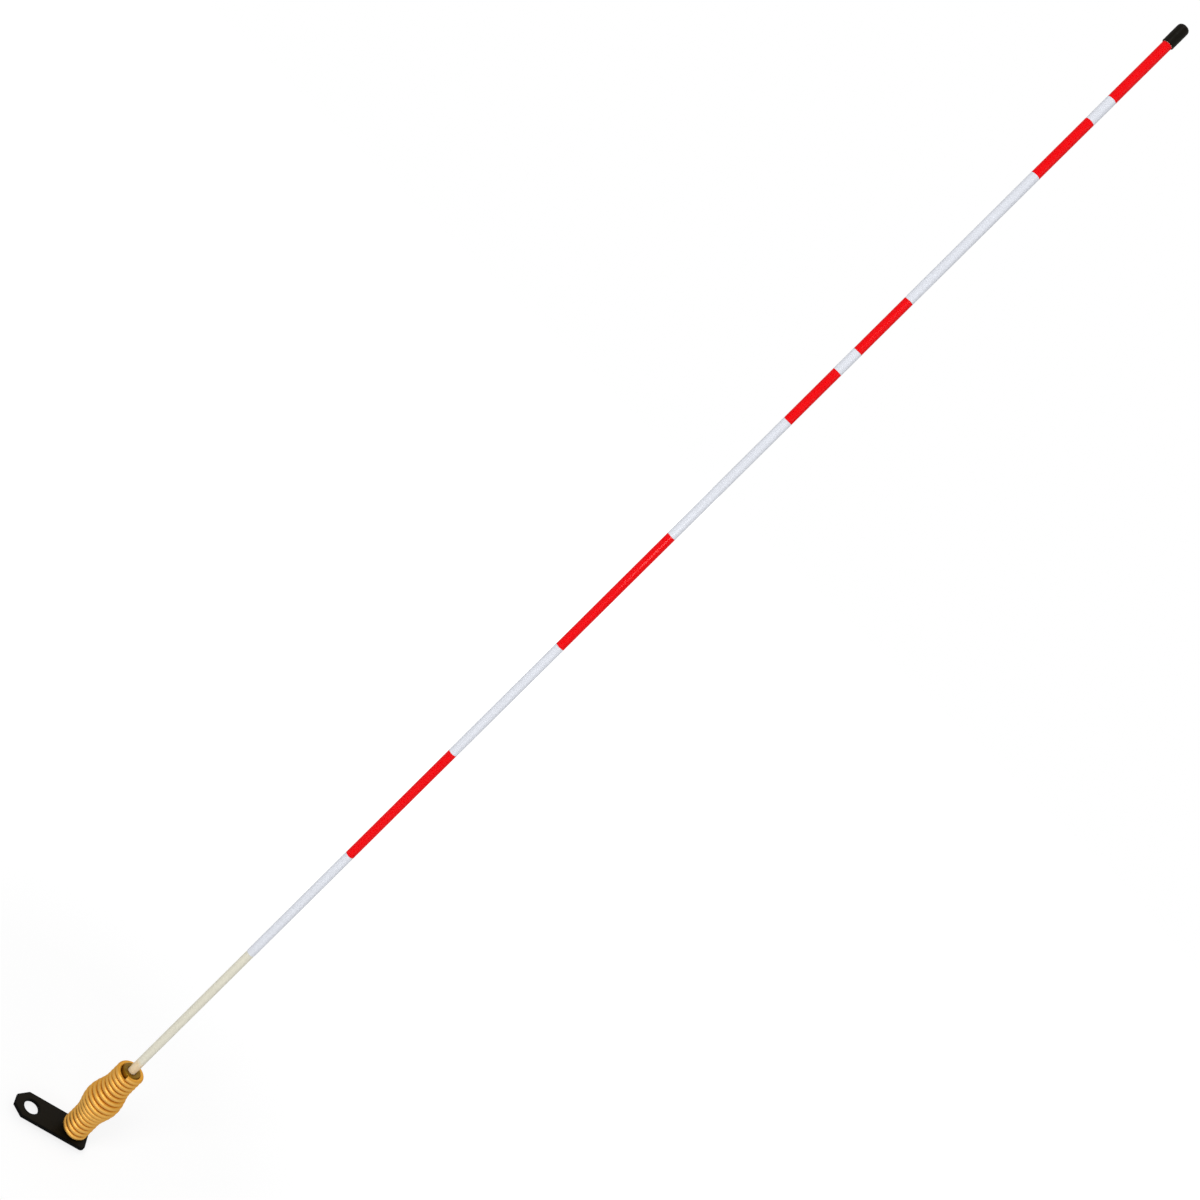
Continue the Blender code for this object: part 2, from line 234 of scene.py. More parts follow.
def select_where(shape, kind, test):
    """Selects the verts, edges or faces for which test holds, in edit mode."""
    bpy.ops.mesh.select_mode(type={"verts": "VERT", "edges": "EDGE", "faces": "FACE"}[kind])
    for element in getattr(shape, kind):
        element.select = test(element)
    shape.select_flush_mode()


def combine(piece, other, operation):
    """A Boolean of piece with other, applied; other is then removed."""
    apply_modifier(piece, "BOOLEAN", operation=operation, object=other, solver="EXACT")
    bpy.data.objects.remove(other, do_unlink=True)


def turn_piece(name, profile, sides=ROUND_SIDES):
    """A round piece about the mast: a ring at the first (radius, height), drawn point to point.

    A last radius of 0 closes the piece in a pole, and the first ring is filled with a flat face.
    """
    clear_selection()
    radius, height = profile[0]
    bpy.ops.mesh.primitive_circle_add(vertices=sides, radius=radius, location=(MAST_X, 0, height))
    piece = name_active(name)
    bpy.ops.object.mode_set(mode="EDIT")
    bpy.ops.mesh.select_mode(type="VERT")
    bpy.ops.mesh.select_all(action="SELECT")
    for next_radius, next_height in profile[1:]:
        rise = (0, 0, next_height - height)
        bpy.ops.mesh.extrude_region_move(TRANSFORM_OT_translate={"value": rise})
        if next_radius == 0:
            bpy.ops.mesh.merge(type="CENTER")
            break
        share = next_radius / radius
        on_axis = (MAST_X, 0, next_height)
        bpy.ops.transform.resize(value=(share, share, 1), center_override=on_axis)
        radius, height = next_radius, next_height
    bpy.ops.mesh.select_all(action="SELECT")
    bpy.ops.mesh.remove_doubles(threshold=SAME_PLACE)
    bpy.ops.mesh.select_all(action="DESELECT")
    bpy.ops.mesh.select_mode(type="EDGE")
    bpy.ops.mesh.select_non_manifold()
    bpy.ops.mesh.edge_face_add()
    bpy.ops.mesh.select_all(action="SELECT")
    bpy.ops.mesh.normals_make_consistent(inside=False)
    bpy.ops.object.mode_set(mode="OBJECT")
    return piece


def rounded(corner, before, after, radius, steps=4):
    """Points round a profile's corner, from the side towards before to the side towards after."""
    corner = Vector(corner)
    start = corner + (Vector(before) - corner).normalized() * radius
    end = corner + (Vector(after) - corner).normalized() * radius
    points = []
    for k in range(steps + 1):
        t = k / steps
        points.append(tuple(start * (1 - t) ** 2 + corner * (2 * t * (1 - t)) + end * t * t))
    return points


# ---- bracket and its fastening ------------------------------------------------------------------


def add_cylinder(radius, depth, middle, sides):
    clear_selection()
    bpy.ops.mesh.primitive_cylinder_add(vertices=sides, radius=radius, depth=depth, location=middle)
    return bpy.context.active_object


def make_bracket():
    """Flat plate with clipped and rounded corners, holes, rounded rims and a band on each rim,
    marked for painted shade and chips.
    """
    low, high = BRACKET_LOW, BRACKET_HIGH
    middle = (low + high) / 2
    clear_selection()
    bpy.ops.mesh.primitive_cube_add(size=1, location=middle, scale=high - low)
    plate = name_active("bracket_plate")
    bpy.ops.object.transform_apply(location=True, rotation=True, scale=True)

    edit(plate)
    for side in (-1, 1):
        bpy.ops.mesh.select_all(action="SELECT")
        on_edge = (low.x + CLIP_LENGTH, side * high.y, 0)
        outward = Vector((-CLIP_WIDTH, side * CLIP_LENGTH, 0)).normalized()
        bpy.ops.mesh.bisect(plane_co=on_edge, plane_no=outward, use_fill=True, clear_outer=True)
    shape = bmesh.from_edit_mesh(plate.data)
    end = [e for e in shape.edges if all(abs(v.co.x - high.x) < SAME_PLACE for v in e.verts)]
    upright = {e for e in end if abs(e.verts[0].co.z - e.verts[1].co.z) > SAME_PLACE}
    select_where(shape, "edges", lambda e: e in upright)
    bpy.ops.mesh.bevel(offset=CORNER_RADIUS, segments=10, affect="EDGES", clamp_overlap=True)
    leave_edit(plate)

    depth = 3 * (high.z - low.z)
    for radius, x, sides in ((BOLT_HOLE_RADIUS, 0, ROUND_SIDES), (SCREW_HOLE_RADIUS, MAST_X, 48)):
        combine(plate, add_cylinder(radius, depth, (x, 0, middle.z), sides), "DIFFERENCE")

    shape = edit(plate)
    level = {f for f in shape.faces if abs(f.normal.z) > LEVEL}
    select_where(shape, "edges", lambda e: len(set(e.link_faces) & level) == 1)
    bpy.ops.mesh.bevel(offset=RIM_ROUNDING, segments=4, affect="EDGES", clamp_overlap=False)
    shape = bmesh.from_edit_mesh(plate.data)
    select_where(shape, "faces", lambda f: abs(f.normal.z) > LEVEL)
    bpy.ops.mesh.inset(thickness=RIM_SHADE_AND_CHIP_BAND, depth=0, use_boundary=True, use_even_offset=True)
    shape = bmesh.from_edit_mesh(plate.data)
    inner = {v.index for f in shape.faces if f.select for v in f.verts}
    leave_edit(plate)

    rim = plate.data.attributes.new("rim", "FLOAT", "POINT")
    for vertex in plate.data.vertices:
        rim.data[vertex.index].value = 0.0 if vertex.index in inner else 1.0
    return settle(plate)


def make_screw():
    """Hex-head screw, up through washer and bracket into the plug."""
    across = min(SCREW_HIGH.x - SCREW_LOW.x, SCREW_HIGH.y - SCREW_LOW.y)
    corner = across / math.sqrt(3)
    foot, top, tip = SCREW_LOW.z, WASHER_LOW.z, SCREW_HIGH.z
    face = across / 2 - HEAD_STEP
    slope = math.tan(HEAD_CHAMFER)
    shank = SCREW_HOLE_RADIUS - SHANK_PLAY
    profile = [(face, foot), (corner, foot + (corner - face) * slope), (corner, top), (shank, top)]
    profile += [(shank, tip - SHANK_POINT), (shank - SHANK_POINT, tip), (0, tip)]
    screw = turn_piece("screw_with_hex_head", profile)
    bpy.ops.object.transform_apply(location=True, rotation=True, scale=True)
    slack = 1e-5
    for vertex in screw.data.vertices:
        out = vertex.co - Vector((MAST_X, 0, vertex.co.z))
        if out.length > corner - slack:
            turned = math.atan2(out.x, out.y) % math.radians(60) - math.radians(30)
            reach = across / 2 / math.cos(turned)
            chamfered = vertex.co.z < (foot + top) / 2
            height = foot + (reach - face) * slope if chamfered else top
            x, y = out.x / out.length * reach, out.y / out.length * reach
            vertex.co = (MAST_X + x, y, height)
    return settle(screw, math.radians(25))


def make_washer():
    """Split lock washer: a square section spun round the mast, with a gap between its cut ends."""
    outer = (WASHER_HIGH.y - WASHER_LOW.y) / 2
    inner = SCREW_HOLE_RADIUS
    low, high = WASHER_LOW.z, WASHER_HIGH.z + WASHER_REACH
    clear_selection()
    bpy.ops.mesh.primitive_plane_add(
        size=1,
        location=(MAST_X + (inner + outer) / 2, 0, (low + high) / 2),
        rotation=(math.pi / 2, 0, 0),
    )
    washer = name_active("split_washer")
    washer.scale = (outer - inner, high - low, 1)
    bpy.ops.object.transform_apply(location=True, rotation=True, scale=True)
    bpy.ops.object.mode_set(mode="EDIT")
    bpy.ops.mesh.select_all(action="SELECT")
    sweep = math.tau - WASHER_GAP / outer
    bpy.ops.mesh.spin(steps=72, angle=sweep, center=(MAST_X, 0, 0), axis=(0, 0, 1))
    bpy.ops.mesh.select_all(action="SELECT")
    bpy.ops.mesh.remove_doubles(threshold=SAME_PLACE)
    bpy.ops.mesh.normals_make_consistent(inside=False)
    bpy.ops.object.mode_set(mode="OBJECT")
    apply_modifier(washer, "BEVEL", width=WASHER_ROUNDING, segments=2, limit_method="ANGLE")
    return settle(washer)


# ---- spring -------------------------------------------------------------------------------------


def coil_radius(height):
    """From the axis to the wire's middle at a height above the spring's foot: necks and a belly."""
    offset = min(1.0, abs(height - BELLY_HEIGHT) / BELLY_REACH)
    swell = math.cos(offset * math.pi / 2) ** 2
    return NECK_RADIUS + (BELLY_RADIUS - NECK_RADIUS) * swell


def measure_flank():
    """Heights up the barrel's flank, and how far along the flank each one lies."""
    climb = SPRING_TOP - SPRING_FOOT - 2 * WIRE_RADIUS
    heights = [WIRE_RADIUS + climb * k / FLANK_STEPS for k in range(FLANK_STEPS + 1)]
    lengths = [0.0]
    for low, high in zip(heights, heights[1:]):
        step = math.hypot(high - low, coil_radius(high) - coil_radius(low))
        lengths.append(lengths[-1] + step)
    return heights, lengths


FLANK_HEIGHTS, FLANK_LENGTHS = measure_flank()


def coil_point(turn):
    """The wire's middle after so many left-hand turns, which lie close along the flank."""
    along = turn / COIL_TURNS * FLANK_LENGTHS[-1]
    height = float(np.interp(along, FLANK_LENGTHS, FLANK_HEIGHTS))
    angle = COIL_START - math.tau * turn
    radius = coil_radius(height)
    x, y = radius * math.cos(angle), radius * math.sin(angle)
    return Vector((MAST_X + x, y, SPRING_FOOT + height))


def wire_ring(turn):
    """(centre, outward, binormal, tangent) of the wire at a turn."""
    centre = coil_point(turn)
    tangent = (coil_point(turn + TANGENT_STEP) - coil_point(turn - TANGENT_STEP)).normalized()
    outward = centre - Vector((MAST_X, 0, centre.z))
    outward = (outward - tangent * outward.dot(tangent)).normalized()
    return centre, outward, tangent.cross(outward), tangent


def make_spring_half(name, first, last, free_end):
    """The wire from turn first to turn last, as one closed tube with its length and girth as UV.

    free_end is -1 where the lower end is the wire's own cut end, and 1 where the upper one is.
    """
    count = round((last - first) * RINGS_PER_TURN)
    turns = [first + (last - first) * k / count for k in range(count + 1)]
    stations = [(turn, 0.0, 1.0) for turn in turns]
    cut_share = 1 - WIRE_END_BREAK / WIRE_RADIUS
    cut = (WIRE_END_BREAK, cut_share)
    shoulder = (WIRE_END_BREAK * 0.3, 1 - (1 - cut_share) * 0.3)
    if free_end < 0:
        stations = [(first, -push, share) for push, share in (cut, shoulder)] + stations
    else:
        stations = stations + [(last, push, share) for push, share in (shoulder, cut)]
    shape = bmesh.new()
    uv = shape.loops.layers.uv.new("wire")
    rings, lengths = [], []
    travelled = 0.0
    previous = None
    for turn, push, share in stations:
        centre, outward, binormal, tangent = wire_ring(turn)
        centre = centre + tangent * push
        travelled += (centre - previous).length if previous else 0.0
        previous = centre
        ring = []
        for j in range(WIRE_SIDES):
            angle = math.tau * j / WIRE_SIDES
            reach = outward * math.cos(angle) + binormal * math.sin(angle)
            ring.append(shape.verts.new(centre + reach * (WIRE_RADIUS * share)))
        rings.append(ring)
        lengths.append(travelled)
    for k in range(len(rings) - 1):
        for j in range(WIRE_SIDES):
            i = (j + 1) % WIRE_SIDES
            face = shape.faces.new((rings[k][j], rings[k][i], rings[k + 1][i], rings[k + 1][j]))
            corners = ((k, j), (k, j + 1), (k + 1, j + 1), (k + 1, j))
            for loop, (row, column) in zip(face.loops, corners):
                loop[uv].uv = (lengths[row], column / WIRE_SIDES)
    for ring, length in ((rings[0], 0.0), (rings[-1], travelled)):
        face = shape.faces.new(ring)
        for loop in face.loops:
            loop[uv].uv = (length, 0.0)
    bmesh.ops.recalc_face_normals(shape, faces=shape.faces)
    mesh = bpy.data.meshes.new(name)
    shape.to_mesh(mesh)
    shape.free()
    half = bpy.data.objects.new(name, mesh)
    bpy.context.scene.collection.objects.link(half)
    return settle(half, math.radians(40))


def make_plug():
    """Round steel plug that the lowest turns grip, with a nose above and its tapped bore below."""
    foot, top = PLUG_LOW.z, PLUG_HIGH.z
    body = NECK_RADIUS - WIRE_RADIUS - PLUG_PLAY
    nose = body - NOSE_STEP
    bore = SCREW_HOLE_RADIUS - BORE_STEP
    roof = SCREW_HIGH.z + BORE_ROOF
    profile = [(bore, roof), (bore, foot + EDGE_BREAK), (bore + EDGE_BREAK, foot)]
    profile += [(body * 0.7, foot), (body - EDGE_BREAK, foot), (body, foot + EDGE_BREAK)]
    profile += [(body, top - PLUG_TAPER), (nose, top - NOSE_BREAK), (nose - NOSE_BREAK, top)]
    return settle(turn_piece("spring_plug", profile + [(0, top)]))


# ---- mast ---------------------------------------------------------------------------------------


def make_ferrule():
    """Flanged socket for the rod, with broken edges and a chamfered mouth."""
    top, foot = FERRULE_HIGH.z + SPRING_RISE, FERRULE_LOW.z
    flange_foot = SPRING_TOP - SPRING_GRIP
    flange = NECK_RADIUS - WIRE_RADIUS - FERRULE_PLAY
    stem = ROD_RADIUS + STEM_WALL
    mouth = ROD_RADIUS + SOCKET_PLAY
    floor = ROD_LOW.z - ROD_END_GAP
    in_mouth = (mouth, top - MOUTH_CHAMFER)
    profile = [(mouth, floor), in_mouth, (mouth + MOUTH_ROUNDING, top - EDGE_BREAK)]
    profile += rounded((mouth + MOUTH_CHAMFER, top), in_mouth, (flange, top), MOUTH_ROUNDING)
    profile += [(flange * 0.8, top)]
    profile += rounded((flange, top), (0, top), (flange, foot), FLANGE_ROUNDING)
    profile += [(flange, flange_foot + EDGE_BREAK), (flange - EDGE_BREAK, flange_foot)]
    profile += [(stem, flange_foot), (stem, foot + STEM_BREAK), (stem - STEM_BREAK, foot)]
    return settle(turn_piece("ferrule_round_rod", profile + [(0, foot)]))


def make_rod():
    """Straight rod with broken ends; its rings keep the faces short along the mast."""
    foot, top = ROD_LOW.z, ROD_HIGH.z
    span = top - foot - 2 * EDGE_BREAK
    profile = [(ROD_RADIUS - EDGE_BREAK, foot), (ROD_RADIUS, foot + EDGE_BREAK)]
    for k in range(1, ROD_RINGS + 1):
        profile.append((ROD_RADIUS, foot + EDGE_BREAK + span * k / ROD_RINGS))
    profile += [(ROD_RADIUS - EDGE_BREAK, top), (0, top)]
    return settle(turn_piece("mast_rod", profile, 64))


def edge_wander(angle, phase):
    """How far a hand-cut tape edge strays at a direction round the rod."""
    slow, quick = math.sin(angle + phase), math.sin(3 * angle + 2.1 * phase)
    return TAPE_STRAY * slow + TAPE_STRAY / 2 * quick


def wrap_tape(node):
    """One flat strip of film, wrapped once round the rod with a lap over its own start."""
    low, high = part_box(node)
    foot, top = low.z, high.z + PACKED_TAPE_JOINT - TAPE_JOINT
    sweep = math.tau + TAPE_OVERLAP
    inner = ROD_RADIUS + TAPE_LIFT
    number = int(node.split("_")[2])
    rows = max(6, round((top - foot) / TAPE_ROW))
    clear_selection()
    bpy.ops.mesh.primitive_grid_add(
        x_subdivisions=TAPE_COLUMNS, y_subdivisions=rows, size=1, location=(0, 0, 0)
    )
    tape = name_active(node.replace("tape_band", "wrapped_tape"))
    for vertex in tape.data.vertices:
        share, rise = vertex.co.x + 0.5, vertex.co.y + 0.5
        turned = share * sweep
        climb = min(1.0, max(0.0, (turned - math.tau + TAPE_LAP_RAMP) / TAPE_LAP_RAMP))
        climb = climb * climb * (3 - 2 * climb)
        angle = TAPE_SEAM - TAPE_OVERLAP / 2 + turned
        wave = math.sin(2 * angle + 37 * rise + number) * math.sin(math.pi * rise)
        radius = inner + (TAPE_FILM + TAPE_LAP_LIFT) * climb + TAPE_RIPPLE * wave
        height = foot + rise * (top - foot)
        height += edge_wander(angle, number) * (rise if rise > 0.5 else 1 - rise) ** 12
        vertex.co = (MAST_X + radius * math.cos(angle), radius * math.sin(angle), height)
    for loop in tape.data.uv_layers[0].data:
        loop.uv = (loop.uv[0] * sweep * inner, loop.uv[1] * (top - foot))
    apply_modifier(tape, "SOLIDIFY", thickness=TAPE_FILM, offset=1.0, use_even_offset=True)
    return settle(tape)


def make_cap():
    """Dipped vinyl cap: a rolled lip, a tube that swells a little and a rounded crown."""
    foot, top = CAP_LOW.z, CAP_HIGH.z
    inner = ROD_RADIUS + TAPE_LIFT + CAP_PLAY
    outer = (CAP_HIGH.x - CAP_LOW.x) / 2
    roof = ROD_HIGH.z + ROD_END_GAP
    shoulder = top - CAP_CROWN
    profile = [(inner, roof), (inner, foot + CAP_LIP), (inner + CAP_LIP / 2, foot + CAP_LIP / 4)]
    lip = outer - inner + CAP_BULGE
    lip_steps = 9
    for k in range(1, lip_steps):
        angle = math.pi * k / lip_steps
        radius = inner + lip * (0.5 - 0.5 * math.cos(angle))
        profile.append((radius, foot + CAP_LIP - CAP_LIP * math.sin(angle)))
    profile += [(outer + CAP_BULGE, foot + CAP_LIP_TOP), (outer, foot + CAP_NECK)]
    tube_steps = 10
    for k in range(1, tube_steps + 1):
        share = k / tube_steps
        swell = CAP_SWELL * math.sin(math.pi * share) + CAP_WAVE * math.sin(17 * share)
        profile.append((outer + swell, foot + CAP_NECK + (shoulder - foot - CAP_NECK) * share))
    crown_steps = 14
    for k in range(1, crown_steps):
        angle = math.pi / 2 * k / crown_steps
        radius = outer * math.cos(angle) ** 0.62
        profile.append((radius, shoulder + (top - shoulder) * math.sin(angle)))
    profile.append((0, top))
    return settle(turn_piece("vinyl_cap", profile))


# ---- shader helpers -----------------------------------------------------------------------------


def new_material(name, color, roughness, metallic=0.0, **levels):
    """A material and its shader; levels are plain numbers for the shader's other sockets."""
    material = bpy.data.materials.new(name)
    material.use_nodes = True
    shader = material.node_tree.nodes["Principled BSDF"]
    shader.inputs["Base Color"].default_value = (*color, 1)
    shader.inputs["Roughness"].default_value = roughness
    shader.inputs["Metallic"].default_value = metallic
    for socket, value in levels.items():
        shader.inputs[socket.replace("_", " ")].default_value = value
    material.diffuse_color = (*color, 1)
    return material, shader


def feed(tree, socket, value):
    """Links another node's output to a socket, or sets the socket to a value."""
    if isinstance(value, bpy.types.NodeSocket):
        tree.links.new(value, socket)
    else:
        socket.default_value = value


def add_node(tree, kind, inputs=None, **settings):
    """A node with its settings; inputs maps socket names or numbers to what feeds them."""
    node = tree.nodes.new(kind)
    for key, value in settings.items():
        setattr(node, key, value)
    for socket, value in (inputs or {}).items():
        feed(tree, node.inputs[socket], value)
    return node


def math_node(tree, operation, first, second=0.0, clamp=False):
    inputs = {0: first, 1: second}
    return add_node(tree, "ShaderNodeMath", inputs, operation=operation, use_clamp=clamp).outputs[0]


def spread(tree, value, low, high, to_low=0.0, to_high=1.0):
    """Value stretched from low..high to to_low..to_high, and held there."""
    inputs = {"Value": value, "From Min": low, "From Max": high}
    inputs.update({"To Min": to_low, "To Max": to_high})
    return add_node(tree, "ShaderNodeMapRange", inputs, clamp=True).outputs["Result"]


def mix_colors(tree, factor, first, second):
    """From the first colour at a factor of 0 to the second at 1."""
    node = add_node(tree, "ShaderNodeMix", {0: factor}, data_type="RGBA")
    for socket, value in ((node.inputs[6], first), (node.inputs[7], second)):
        feed(tree, socket, (*value, 1) if isinstance(value, tuple) else value)
    return node.outputs[2]


def noise(tree, place, scale, **inputs):
    inputs = {"Vector": place, "Scale": scale, **inputs}
    return add_node(tree, "ShaderNodeTexNoise", inputs).outputs["Fac"]


def object_place(tree, origin=(0, 0, 0)):
    """Object coordinates, counted from an origin."""
    coordinates = tree.nodes.new("ShaderNodeTexCoord").outputs["Object"]
    inputs = {0: coordinates, 1: origin}
    return add_node(tree, "ShaderNodeVectorMath", inputs, operation="SUBTRACT").outputs["Vector"]


def bump(tree, shader, height, distance, strength=1.0, below=None):
    """Relief on the shader's surface, laid over the relief below."""
    inputs = {"Height": height, "Distance": distance, "Strength": strength}
    if below:
        inputs["Normal"] = below
    node = add_node(tree, "ShaderNodeBump", inputs)
    tree.links.new(node.outputs["Normal"], shader.inputs["Normal"])
    return node.outputs["Normal"]


def new_group(name, inputs, outputs):
    """An empty node group; inputs are (name, socket type, default), outputs (name, socket type)."""
    group = bpy.data.node_groups.new(name, "ShaderNodeTree")
    for socket, kind, default in inputs:
        made = group.interface.new_socket(socket, in_out="INPUT", socket_type=kind)
        if default is not None:
            made.default_value = default
    for socket, kind in outputs:
        group.interface.new_socket(socket, in_out="OUTPUT", socket_type=kind)
    given = group.nodes.new("NodeGroupInput").outputs
    return group, given, group.nodes.new("NodeGroupOutput").inputs


def use_group(tree, group, **inputs):
    node = tree.nodes.new("ShaderNodeGroup")
    node.node_tree = group
    for socket, value in inputs.items():
        feed(tree, node.inputs[socket.replace("_", " ")], value)
    return node.outputs


# ---- shared effects -----------------------------------------------------------------------------


def make_cloudiness():
    """Uneven tone: two sizes of soft noise added together."""
    group, given, result = new_group(
        "cloudiness",
        [
            ("Place", "NodeSocketVector", None),
            ("Scale", "NodeSocketFloat", 40.0),
            ("Contrast", "NodeSocketFloat", 1.0),
        ],
        [("Tone", "NodeSocketFloat")],
    )
    wide = noise(group, given["Place"], given["Scale"], Detail=3.0)
    finer = math_node(group, "MULTIPLY", given["Scale"], 5.3)
    small = noise(group, given["Place"], finer, Detail=2.0)
    both = math_node(group, "ADD", wide, small)
    centred = math_node(group, "SUBTRACT", math_node(group, "MULTIPLY", both, 0.5), 0.5)
    lifted = math_node(group, "MULTIPLY", centred, given["Contrast"])
    group.links.new(math_node(group, "ADD", lifted, 0.5, clamp=True), result["Tone"])
    return group


def make_drawn_lines():
    """Long fine lines: noise that is stretched along one axis."""
    group, given, result = new_group(
        "drawn lines",
        [("Place", "NodeSocketVector", None), ("Density", "NodeSocketVector", (1.0, 1.0, 1.0))],
        [("Line", "NodeSocketFloat")],
    )
    inputs = {0: given["Place"], 1: given["Density"]}
    squeezed = add_node(group, "ShaderNodeVectorMath", inputs, operation="MULTIPLY")
    streaks = noise(group, squeezed.outputs["Vector"], 1.0, Detail=4.0, Roughness=0.6)
    group.links.new(spread(group, streaks, 0.32, 0.68), result["Line"])
    return group


def make_specks():
    """Sparse small specks, such as chips, dust or pits, in patches."""
    group, given, result = new_group(
        "specks",
        [
            ("Place", "NodeSocketVector", None),
            ("Scale", "NodeSocketFloat", 900.0),
            ("Share", "NodeSocketFloat", 0.1),
        ],
        [("Speck", "NodeSocketFloat")],
    )
    inputs = {"Vector": given["Place"], "Scale": given["Scale"]}
    cells = add_node(group, "ShaderNodeTexVoronoi", inputs).outputs["Distance"]
    patch = noise(group, given["Place"], math_node(group, "MULTIPLY", given["Scale"], 0.12))
    near = spread(group, cells, 0.12, 0.30, 1.0, 0.0)
    edge = math_node(group, "SUBTRACT", 0.72, given["Share"])
    there = spread(group, math_node(group, "SUBTRACT", patch, edge), 0.0, 0.08)
    group.links.new(math_node(group, "MULTIPLY", near, there), result["Speck"])
    return group


CLOUDINESS = make_cloudiness()
DRAWN_LINES = make_drawn_lines()
SPECKS = make_specks()

# ---- materials ----------------------------------------------------------------------------------


def paint_bracket():
    """Black powder coat: fine orange peel, painted shade along the rims, with a few chips there."""
    material, shader = new_material(
        "black powder coat", (0.0075, 0.0058, 0.0030), 0.60, Specular_IOR_Level=0.05
    )
    tree = material.node_tree
    place = object_place(tree)
    rim = add_node(tree, "ShaderNodeAttribute", attribute_name="rim").outputs["Fac"]
    # edge is the rim band, which carries both painted shade and chips
    edge = math_node(tree, "POWER", rim, 1.5)
    tone = use_group(tree, CLOUDINESS, Place=place, Scale=70.0, Contrast=1.6)["Tone"]
    coat = mix_colors(tree, tone, (0.0058, 0.0043, 0.0020), (0.0095, 0.0072, 0.0036))
    # painted shade: the rims turn near-black where shade falls at the plate's edges
    coat = mix_colors(tree, edge, coat, (0.0003, 0.0002, 0.0001))
    chips = use_group(tree, SPECKS, Place=place, Scale=1500.0, Share=0.07)["Speck"]
    chips = math_node(tree, "MULTIPLY", chips, math_node(tree, "MULTIPLY", edge, 0.5))
    coat = mix_colors(tree, chips, coat, (0.055, 0.050, 0.045))
    tree.links.new(coat, shader.inputs["Base Color"])
    tree.links.new(spread(tree, tone, 0.0, 1.0, 0.50, 0.62), shader.inputs["Roughness"])
    bump(tree, shader, noise(tree, place, 900.0, Detail=2.0), 0.00006)
    return material


def plate_wire():
    """Yellow zinc on drawn spring wire, with painted highlights as paler gold on the crests, and
    brighter gold painted into the grooves between the turns to lift their shade.
    """
    material, shader = new_material(
        "yellow zinc wire",
        (0.60, 0.28, 0.02),
        0.42,
        1.0,
        Coat_Weight=0.2,
        Coat_Roughness=0.25,
        Coat_IOR=1.6,
        Specular_Tint=(0.80, 0.52, 0.18, 1),
    )
    tree = material.node_tree
    wire = add_node(tree, "ShaderNodeUVMap", uv_map="wire").outputs["UV"]
    around = add_node(tree, "ShaderNodeSeparateXYZ", {0: wire}).outputs["Y"]
    facing_out = math_node(tree, "COSINE", math_node(tree, "MULTIPLY", around, math.tau))
    crest_highlight = spread(tree, facing_out, 0.35, 0.98)
    groove_lift_and_roughness = spread(tree, facing_out, 0.50, 0.10)
    lines = use_group(tree, DRAWN_LINES, Place=wire, Density=(60.0, 46.0, 1.0))["Line"]
    place = object_place(tree, MAST)
    tone = use_group(tree, CLOUDINESS, Place=place, Scale=110.0, Contrast=2.2)["Tone"]
    gold = mix_colors(tree, tone, (0.50, 0.195, 0.007), (0.64, 0.285, 0.014))
    # painted highlight: paler gold on the wire's outward crest stands in for the lamp's highlight
    gold = mix_colors(tree, math_node(tree, "MULTIPLY", crest_highlight, 0.7), gold, (0.62, 0.37, 0.095))
    gold = mix_colors(tree, math_node(tree, "MULTIPLY", lines, 0.16), gold, (0.80, 0.50, 0.14))
    # painted light: brighter gold in the grooves lifts the shade that falls between the turns; the
    # same mask also roughens them
    gold = mix_colors(tree, math_node(tree, "MULTIPLY", groove_lift_and_roughness, 0.8), gold, (0.78, 0.42, 0.06))
    tree.links.new(gold, shader.inputs["Base Color"])
    rough = spread(tree, lines, 0.0, 1.0, 0.42, 0.54)
    rough = math_node(tree, "ADD", rough, math_node(tree, "MULTIPLY", groove_lift_and_roughness, 0.14))
    tree.links.new(rough, shader.inputs["Roughness"])
    first = bump(tree, shader, lines, 0.00003)
    bump(tree, shader, tone, 0.00008, 0.6, first)
    return material


def plate_turned_steel(name, dark, light, roughness, ring_density):
    """Zinc-plated turned steel, with rings round the mast from the lathe."""
    material, shader = new_material(name, light, roughness, 1.0)
    tree = material.node_tree
    place = object_place(tree, MAST)
    parts = add_node(tree, "ShaderNodeSeparateXYZ", {0: place}).outputs
    squares = [math_node(tree, "POWER", parts[axis], 2.0) for axis in ("X", "Y")]
    radius = math_node(tree, "SQRT", math_node(tree, "ADD", *squares))
    inputs = {"X": radius, "Y": parts["Z"]}
    across = add_node(tree, "ShaderNodeCombineXYZ", inputs).outputs["Vector"]
    density = (ring_density, ring_density, 1.0)
    rings = use_group(tree, DRAWN_LINES, Place=across, Density=density)["Line"]
    tone = use_group(tree, CLOUDINESS, Place=place, Scale=180.0, Contrast=1.6)["Tone"]
    color = mix_colors(tree, tone, dark, light)
    shade = tuple(0.55 * c for c in dark)
    color = mix_colors(tree, math_node(tree, "MULTIPLY", rings, 0.35), color, shade)
    tree.links.new(color, shader.inputs["Base Color"])
    rough = spread(tree, rings, 0.0, 1.0, roughness - 0.08, roughness + 0.08)
    tree.links.new(rough, shader.inputs["Roughness"])
    bump(tree, shader, rings, 0.00004)
    return material


